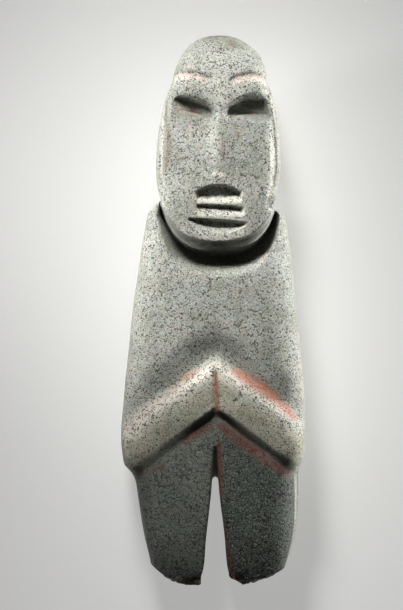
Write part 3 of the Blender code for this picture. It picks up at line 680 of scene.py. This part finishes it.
# A socket that takes part in sums: each operator adds a Math node to the same tree.
class Wire:
    def __init__(self, tree, socket):
        self.tree, self.socket = tree, socket

    # Adds a node: its settings first, then the values or links of its sockets, and gives back one output.
    def node(self, kind, settings=None, sockets=None, output=0):
        made = self.tree.nodes.new(kind)
        for name, value in (settings or {}).items():
            setattr(made, name, value)
        for name, value in (sockets or {}).items():
            if isinstance(value, Wire):
                self.tree.links.new(value.socket, made.inputs[name])
            else:
                made.inputs[name].default_value = value
        return Wire(self.tree, made.outputs[output])

    # Arithmetic on wires and numbers, which the operators below share.
    def maths(self, operation, *values):
        return self.node("ShaderNodeMath", {"operation": operation}, dict(enumerate(values)))

    def __add__(self, other):
        return self.maths("ADD", self, other)

    def __sub__(self, other):
        return self.maths("SUBTRACT", self, other)

    def __rsub__(self, other):
        return self.maths("SUBTRACT", other, self)

    def __mul__(self, other):
        return self.maths("MULTIPLY", self, other)

    __radd__ = __add__

    # 0 at low, 1 at high, smooth between; low may be the larger.
    def ease(self, low, high):
        sockets = {"Value": self, "From Min": low, "From Max": high, "To Min": 0.0, "To Max": 1.0}
        return self.node("ShaderNodeMapRange", {"interpolation_type": "SMOOTHSTEP"}, sockets)

    # This value mixes two colours.
    def mix(self, first, second):
        settings = {"data_type": "RGBA", "clamp_factor": True}
        return self.node("ShaderNodeMix", settings, {0: self, 6: first, 7: second}, 2)

    # Vector arithmetic on this place.
    def vector(self, operation, other):
        return self.node("ShaderNodeVectorMath", {"operation": operation}, {0: self, 1: other})

    # Noise with features of a size in millimetres, read at this place.
    def noise(self, size, detail=2.0, rough=0.55, output=0):
        sockets = {"Vector": self, "Scale": 1 / size, "Detail": detail, "Roughness": rough}
        return self.node("ShaderNodeTexNoise", None, sockets, output)

    # Cells of a size in millimetres; "DISTANCE_TO_EDGE" gives a web of lines, "F1" gives dots.
    def cells(self, size, feature):
        sockets = {"Vector": self, "Scale": 1 / size}
        return self.node("ShaderNodeTexVoronoi", {"feature": feature}, sockets, "Distance")

    # The same place shifted in waves, so that straight lines on it wander.
    def bent(self, size, amount, shift=(0.0, 0.0, 0.0)):
        wave = self.vector("ADD", shift).noise(size, 2.0, 0.5, 1)
        return self.vector("ADD", wave.vector("SUBTRACT", (0.5, 0.5, 0.5)).vector("MULTIPLY", (amount,) * 3))


# Colours are linear red, green, blue, and sizes are millimetres. A web of cracks is (size, shift).
stoneLook = {
    "stone": (0.359, 0.358, 0.314, 1),
    "light": (0.545, 0.532, 0.474, 1),
    "dark": (0.190, 0.203, 0.163, 1),
    # painted shade multiplied into the legs, partly their darker stone
    "paintedLegShade": (0.164, 0.198, 0.174),
    "legLight": (0.200, 0.214, 0.190, 1),
    "legCrack": (0.012, 0.014, 0.012, 1),
    "armShade": (1.16, 1.10, 0.98),
    "blue": (0.320, 0.345, 0.330, 1),
    "cream": (0.760, 0.720, 0.610, 1),
    "crack": (0.040, 0.045, 0.038, 1),
    # the colour of painted shade
    "paintedShadeColour": (0.075, 0.083, 0.066, 1),
    "red": (0.500, 0.135, 0.070, 1),
    # the paint's colour where it lies in painted shade
    "shadedRed": (0.120, 0.022, 0.014, 1),
    "pink": (0.560, 0.385, 0.320, 1),
    "brown": (0.120, 0.070, 0.040, 1),
    "webs": [(3.4, (0.0, 0.0, 0.0)), (2.7, (37.0, 11.0, 0.0)), (4.3, (5.0, 63.0, 0.0))],
    "fewerCracks": 0.085,
    "hairSize": 2.8,
    "pitSize": 1.35,
    "relief": 1.0,
    "specular": 0.35,
}


# A mask that the mesh carries, read by its name.
def attribute(wire, name):
    return wire.node("ShaderNodeAttribute", {"attribute_name": name}, None, "Fac")


# The largest of several wires at each point.
def strongest(wires):
    most = wires[0]
    for wire in wires[1:]:
        most = most.maths("MAXIMUM", most, wire)
    return most


# Ground green stone: a mottled colour is mixed, layer by layer, with painted shade on the legs, wear and
# painted highlights, cracks with painted highlights beside them, painted shade, stains and paint, each by its
# mask times a noise. The bump is the grain less the grooves of cracks and pits.
def makeStone():
    look = stoneLook
    material = bpy.data.materials.new("greenStone")
    material.use_nodes = True
    tree = material.node_tree
    shader = tree.nodes["Principled BSDF"]
    start = Wire(tree, None)
    own = start.node("ShaderNodeTexCoord", None, None, "Object")
    place = start.node("ShaderNodeMapping", None, {"Vector": own, "Scale": (1 / mm,) * 3})
    names = ("pigment", "stain", "crackle", "thin", "hollow", "wearAndHighlight", "paintedShade", "legs", "arms", "deep")
    masks = [attribute(start, name) for name in names]
    pigment, stain, crackle, thin, hollow, wearAndHighlight, paintedShade, legs, arms, deep = masks

    cloud = place.noise(26.0, 3.0)
    patch = place.vector("ADD", (31.0, 7.0, 3.0)).noise(9.0, 3.0, 0.6)
    mottle = place.noise(2.6, 4.0, 0.62)
    grain = place.noise(0.62, 3.0, 0.7)
    speck = place.vector("ADD", (3.0, 50.0, 9.0)).noise(0.42, 2.0, 0.6)
    bluish = place.vector("ADD", (9.0, 77.0, 5.0)).noise(13.0, 2.0, 0.55)

    color = (cloud * 0.5 + patch * 0.5).ease(0.36, 0.63).mix(look["dark"], look["stone"])
    color = (bluish.ease(0.50, 0.66) * 0.45).mix(color, look["blue"])
    color = (mottle.ease(0.52, 0.74) * 0.25).mix(color, look["light"])
    color = (mottle.ease(0.47, 0.28) * 0.20).mix(color, look["dark"])
    color = (grain.ease(0.52, 0.64) * 0.70).mix(color, look["light"])
    color = (grain.ease(0.48, 0.36) * 0.60).mix(color, look["dark"])
    tint = place.vector("ADD", (70.0, 2.0, 8.0)).noise(3.2, 2.0, 0.6, 1)
    tint = tint.vector("MULTIPLY", (0.36, 0.30, 0.36)).vector("ADD", (0.82, 0.85, 0.82))
    color = color.vector("MULTIPLY", tint)
    # painted shade: the legs darken, partly darker stone and partly the light fading towards the feet
    color = legs.mix(color, color.vector("MULTIPLY", look["paintedLegShade"]))
    color = arms.mix(color, color.vector("MULTIPLY", look["armShade"]))
    color = (legs * speck.ease(0.57, 0.67) * 0.42).mix(color, look["legLight"])
    # pale wear, partly painted highlights on faces that catch the light
    color = (wearAndHighlight * 0.85 * grain.ease(0.2, 0.5)).mix(color, look["cream"])

    # short wandering cracks: lines of wide webs, kept only in small islands, each beside a painted highlight
    # on its lit side
    cracks, grooves, crackHighlights = [], [], []
    drift = crackle * 0.03 + patch * 0.16 - look["fewerCracks"]
    for size, shift in look["webs"]:
        waved = place.bent(1.3, 2.3, shift)
        web = waved.cells(size, "DISTANCE_TO_EDGE") * size
        # the same web moved down and right, for a painted highlight on the wall of each crack that faces the
        # key lamp
        lit = waved.vector("ADD", (-0.14, 0.38, 0.0)).cells(size, "DISTANCE_TO_EDGE") * size
        gate = place.vector("ADD", shift).noise(1.1, 0.0) + drift
        cracks.append(web.ease(0.19, 0.10) * gate.ease(0.54, 0.58))
        crackHighlights.append(lit.ease(0.24, 0.08) * gate.ease(0.53, 0.58))
        grooves.append(web.ease(0.38, 0.05) * gate.ease(0.53, 0.59))

    # hair cracks, on the legs alone, with pale edges
    size = look["hairSize"]
    hair = place.bent(1.5, 2.2, (5.0, 5.0, 40.0)).cells(size, "DISTANCE_TO_EDGE") * size
    hairGate = place.vector("ADD", (60.0, 0.0, 0.0)).noise(2.0, 1.0)
    cracks.append(hair.ease(0.26, 0.12) * hairGate.ease(0.44, 0.54) * legs)
    hairLip = hair.ease(0.24, 0.44) * hair.ease(0.75, 0.48) * hairGate.ease(0.42, 0.56) * legs
    grooves.append(hair.ease(0.48, 0.04) * hairGate.ease(0.42, 0.54) * legs)

    # round pits: small dots, in loose drifts
    size = look["pitSize"]
    dots = place.cells(size, "F1") * size
    pitGate = place.vector("ADD", (0.0, 0.0, 44.0)).noise(4.0, 2.0)
    cracks.append(dots.ease(0.24, 0.13) * pitGate.ease(0.47, 0.60) * 0.9)
    grooves.append(dots.ease(0.42, 0.10) * pitGate.ease(0.45, 0.60) * 0.8)

    crack, groove, lip = strongest(cracks), strongest(grooves), strongest(crackHighlights)
    # painted highlights beside the cracks
    color = (lip * 0.50).mix(color, legs.mix(look["light"], look["legLight"]))
    color = (hairLip * 0.65).mix(color, look["legLight"])
    crackColor = legs.mix(look["crack"], look["legCrack"])
    color = (crack * speck.ease(0.26, 0.42) * (1 - paintedShade * 0.6)).mix(color, crackColor)

    # painted shade in the carving's recesses and where shadow falls, then stains and pigment broken up by the
    # grain
    color = (hollow * 0.16 * patch.ease(0.3, 0.6)).mix(color, look["paintedShadeColour"])
    color = (paintedShade * (mottle * 0.5 + 0.45)).mix(color, look["paintedShadeColour"])
    worn = (grain * 0.45 + mottle * 0.35 + place.noise(1.1, 2.0) * 0.35).ease(0.40, 0.76)
    freckle = (grain * 0.5 + speck * 0.5).ease(0.45, 0.56)
    color = (stain * (freckle * 0.90 + worn * 0.15)).mix(color, look["brown"])
    amount = pigment * (worn * 1.1 + 0.12)
    # the paint darkens as painted shade below the forearms and in the hands' groove
    paint = deep.mix(look["red"], look["shadedRed"])
    paint = (thin * 0.9).mix(paint, look["pink"])
    color = (amount * 0.95).mix(color, paint)

    height = grain * 0.10 + mottle * 0.16 - groove * 0.13 + speck * 0.05
    sockets = {"Strength": 1.0, "Distance": mm * look["relief"], "Height": height}
    bump = start.node("ShaderNodeBump", None, sockets)
    roughness = 0.50 + grain * 0.16 + amount * 0.22 + crack * 0.12
    for name, wire in (("Base Color", color), ("Roughness", roughness), ("Normal", bump)):
        tree.links.new(wire.socket, shader.inputs[name])
    shader.inputs["Specular IOR Level"].default_value = look["specular"]
    return material


# The figure's piece: the skin is worn, its masks are read from the worn skin, and it gets the stone.
def makeFigure():
    points, fours, threes = figureSkin()
    print("skin:", len(points), "points,", 2 * len(fours) + len(threes), "triangles")
    points = wornSkin(points, skinNormals(points, fours, threes))
    masks = surfaceMasks(points, skinNormals(points, fours, threes))
    mesh = bpy.data.meshes.new("carvedFigure")
    mesh.from_pydata((points * mm).tolist(), [], fours.tolist() + threes.tolist())
    mesh.shade_smooth()
    for name, values in masks.items():
        layer = mesh.attributes.new(name, "FLOAT", "POINT")
        layer.data.foreach_set("value", values.astype(np.float32))
    mesh.materials.append(makeStone())
    print("stone made, with masks", ", ".join(masks))
    carved = bpy.data.objects.new("carvedFigure", mesh)
    bpy.context.scene.collection.objects.link(carved)
    return carved


carved = makeFigure()
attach(carved, "root")
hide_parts("figurine")
print("figure dressed")

# The stage: metres, watts and degrees. A light is (name, place, aim, size, power, spread).
stage = {
    "floorHalf": 8.0,
    "floorHeight": -0.0002,
    "floorColor": (0.62, 0.617, 0.605, 1),
    "floorGlow": 0.41,
    "worldColor": (0.80, 0.80, 0.79, 1),
    "worldStrength": 0.025,
    "backdropStrength": 0.54,
    "lights": [
        ("keyLight", (-0.11, 0.53, 0.41), (0.0, 0.044, 0.045), 0.20, 0.149, 28),
        ("rimLight", (0.25, 0.12, 0.007), (0.03, 0.06, 0.03), 0.013, 1.2, 180),
        ("legRimLight", (0.24, -0.10, 0.006), (0.03, -0.10, 0.025), 0.013, 0.36, 180),
        ("sideLight", (-0.80, 0.10, 0.095), (-0.03, 0.06, 0.04), 0.08, 0.125, 20),
    ],
    "onlyOnFigure": ("rimLight", "legRimLight"),  # they skim the floor and would leave bright pools on it
    "cameraPlace": (-0.00575, 0.0025, 2.4),
    "lens": 280.4,
    "sensor": 36.0,
}


# Floor, world, lights and camera. The floor glows a little, and the camera sees a paler world than the one
# that lights the figure, so that both stay pale in every view.
def makeStage(figureObject):
    half, height = stage["floorHalf"], stage["floorHeight"]
    corners = [(-half, -half, height), (half, -half, height), (half, half, height), (-half, half, height)]
    mesh = bpy.data.meshes.new("floor")
    mesh.from_pydata(corners, [], [(0, 1, 2, 3)])
    paper = bpy.data.materials.new("paperFloor")
    paper.use_nodes = True
    shader = paper.node_tree.nodes["Principled BSDF"]
    shader.inputs["Base Color"].default_value = stage["floorColor"]
    shader.inputs["Roughness"].default_value = 0.9
    shader.inputs["Specular IOR Level"].default_value = 0.1
    shader.inputs["Emission Color"].default_value = stage["floorColor"]
    shader.inputs["Emission Strength"].default_value = stage["floorGlow"] / stage["floorColor"][0]
    mesh.materials.append(paper)
    floor = bpy.data.objects.new("floor", mesh)
    bpy.context.scene.collection.objects.link(floor)

    world = bpy.data.worlds.new("softRoom")
    world.use_nodes = True
    start = Wire(world.node_tree, None)
    room, backdrop = (
        start.node("ShaderNodeBackground", None, {"Color": stage["worldColor"], "Strength": stage[name]})
        for name in ("worldStrength", "backdropStrength"))
    seen = start.node("ShaderNodeLightPath", None, None, "Is Camera Ray")
    both = start.node("ShaderNodeMixShader", None, {0: seen, 1: room, 2: backdrop})
    world.node_tree.links.new(both.socket, world.node_tree.nodes["World Output"].inputs["Surface"])
    bpy.context.scene.world = world

    lit = bpy.data.collections.new("litByRims")
    lit.objects.link(figureObject)
    for name, place, aim, size, power, spread in stage["lights"]:
        light = bpy.data.lights.new(name, "AREA")
        light.shape, light.size, light.energy, light.spread = "DISK", size, power, math.radians(spread)
        lamp = bpy.data.objects.new(name, light)
        lamp.location = place
        lamp.visible_camera = False
        if name in stage["onlyOnFigure"]:
            lamp.light_linking.receiver_collection = lit
        lamp.rotation_euler = (Vector(aim) - Vector(place)).to_track_quat("-Z", "Y").to_euler()
        bpy.context.scene.collection.objects.link(lamp)

    camera = bpy.data.cameras.new("camera")
    camera.lens, camera.sensor_width, camera.clip_end = stage["lens"], stage["sensor"], 100.0
    eye = bpy.data.objects.new("camera", camera)
    eye.location = stage["cameraPlace"]
    bpy.context.scene.collection.objects.link(eye)
    bpy.context.scene.camera = eye
    bpy.context.scene.view_settings.view_transform = "Standard"
    print("stage set")


makeStage(carved)
